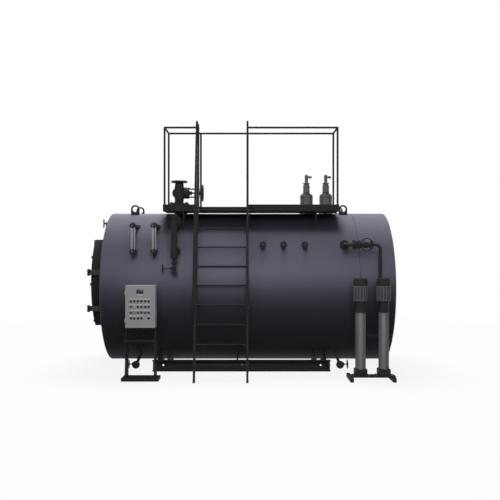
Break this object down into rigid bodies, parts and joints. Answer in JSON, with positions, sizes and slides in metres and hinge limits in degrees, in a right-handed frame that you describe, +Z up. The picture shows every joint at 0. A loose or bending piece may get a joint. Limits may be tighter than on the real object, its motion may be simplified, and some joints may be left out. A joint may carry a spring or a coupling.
{
  "type": "horizontal fire-tube steam boiler",
  "caption": "Horizontal steam boiler on a channel skid, with a side ladder, a guarded top platform, valves, level gauges, upright feed pumps and a control cabinet.",
  "frame": {"origin": "on the floor under the middle of the whole plant", "axes": "+X along the boiler from the front smoke box to the rear, -Y to the ladder side, +Z up"},
  "size_m": [4.2436, 2.5996, 3.3695],
  "materials": {
    "jacket": "blue-grey powder-coated jacket sheet, satin",
    "frame": "dark grey paint on steel sections, matt",
    "door": "heat-resistant black paint, matt",
    "drum": "sooty boiler plate",
    "valve": "cast iron in dark paint",
    "safety": "grey cast valve body",
    "glass_frame": "brushed gauge frame",
    "cabinet": "light grey powder coat",
    "sleeve": "brushed stainless sleeve",
    "motor": "grey painted motor"
  },
  "bodies": {
    "boiler": {"main_jacket": "jacket", "rear_jacket": "jacket", "front_end_plate": "jacket", "rear_end_plate": "jacket", "pressure_drum": "drum", "front_tube_plate": "drum", "furnace_tube": "drum", "smoke_box": "door", "door_hinge_brackets": "door", "rear_cover": "door", "flue_outlet": "door", "skid_beams": "frame", "saddles": "frame", "platform_deck": "frame", "platform_gussets": "frame", "toe_boards_sides": "frame", "toe_boards_ends": "frame", "guard_posts": "frame", "guard_rails_sides": "frame", "guard_rails_ends": "frame", "ladder_stringers": "frame", "ladder_rungs": "frame", "ladder_lugs": "frame", "ladder_handrails": "frame", "lifting_lugs": "frame", "steam_nozzle": "valve", "steam_valve_body": "valve", "steam_valve_bonnet": "valve", "safety_valve_bases": "safety", "safety_valve_springs": "safety", "gauge_cocks": "valve", "gauge_glasses": "glass_frame", "level_column": "valve", "column_drain_valve": "valve", "instrument_stubs": "valve", "feed_nozzle": "valve", "feed_check_valve": "valve", "feed_stop_valve": "valve", "feed_pipe": "valve", "pump_base": "frame", "pump_stages": "sleeve", "pump_motors": "motor", "blowdown_valves": "valve", "cabinet_body": "cabinet", "cabinet_stand": "frame", "air_cock": "valve", "rear_drain_stub": "valve"},
    "smoke_door": {"front_door": "door", "burner_blank": "door", "door_straps": "door"},
    "control_door": {"cabinet_door": "cabinet"},
    "steam_wheel": {"steam_valve_wheel": "valve"},
    "feed_wheel": {"feed_valve_wheel": "valve"},
    "column_wheel": {"column_drain_wheel": "valve"},
    "blowdown_front": {"blowdown_wheel_front": "valve"},
    "blowdown_rear": {"blowdown_wheel_rear": "valve"}
  },
  "joints": [
    {"name": "smoke_door_hinge", "type": "hinge", "parent": "boiler", "child": "smoke_door", "pos_m": [-2.0978, -0.57019, 1.137], "axis": [0, 0, 1], "range_deg": [0, 100]},
    {"name": "control_door_hinge", "type": "hinge", "parent": "boiler", "child": "control_door", "pos_m": [-1.5287, -1.05119, 0.671], "axis": [0, 0, -1], "range_deg": [0, 110]},
    {"name": "steam_wheel_turn", "type": "hinge", "parent": "boiler", "child": "steam_wheel", "pos_m": [-0.9702, 0.24981, 2.488], "axis": [1, 0, 0], "range_deg": [0, 1800]},
    {"name": "feed_wheel_turn", "type": "hinge", "parent": "boiler", "child": "feed_wheel", "pos_m": [1.5598, -0.83819, 1.727], "axis": [0, -1, 0], "range_deg": [0, 1800]},
    {"name": "column_wheel_turn", "type": "hinge", "parent": "boiler", "child": "column_wheel", "pos_m": [-0.9222, -0.87319, 1.422], "axis": [-1, 0, 0], "range_deg": [0, 1440]},
    {"name": "blowdown_front_turn", "type": "hinge", "parent": "boiler", "child": "blowdown_front", "pos_m": [-1.4732, -0.48519, 0.117], "axis": [-1, 0, 0], "range_deg": [0, 1440]},
    {"name": "blowdown_rear_turn", "type": "hinge", "parent": "boiler", "child": "blowdown_rear", "pos_m": [1.2718, -0.48519, 0.117], "axis": [1, 0, 0], "range_deg": [0, 1440]}
  ]
}
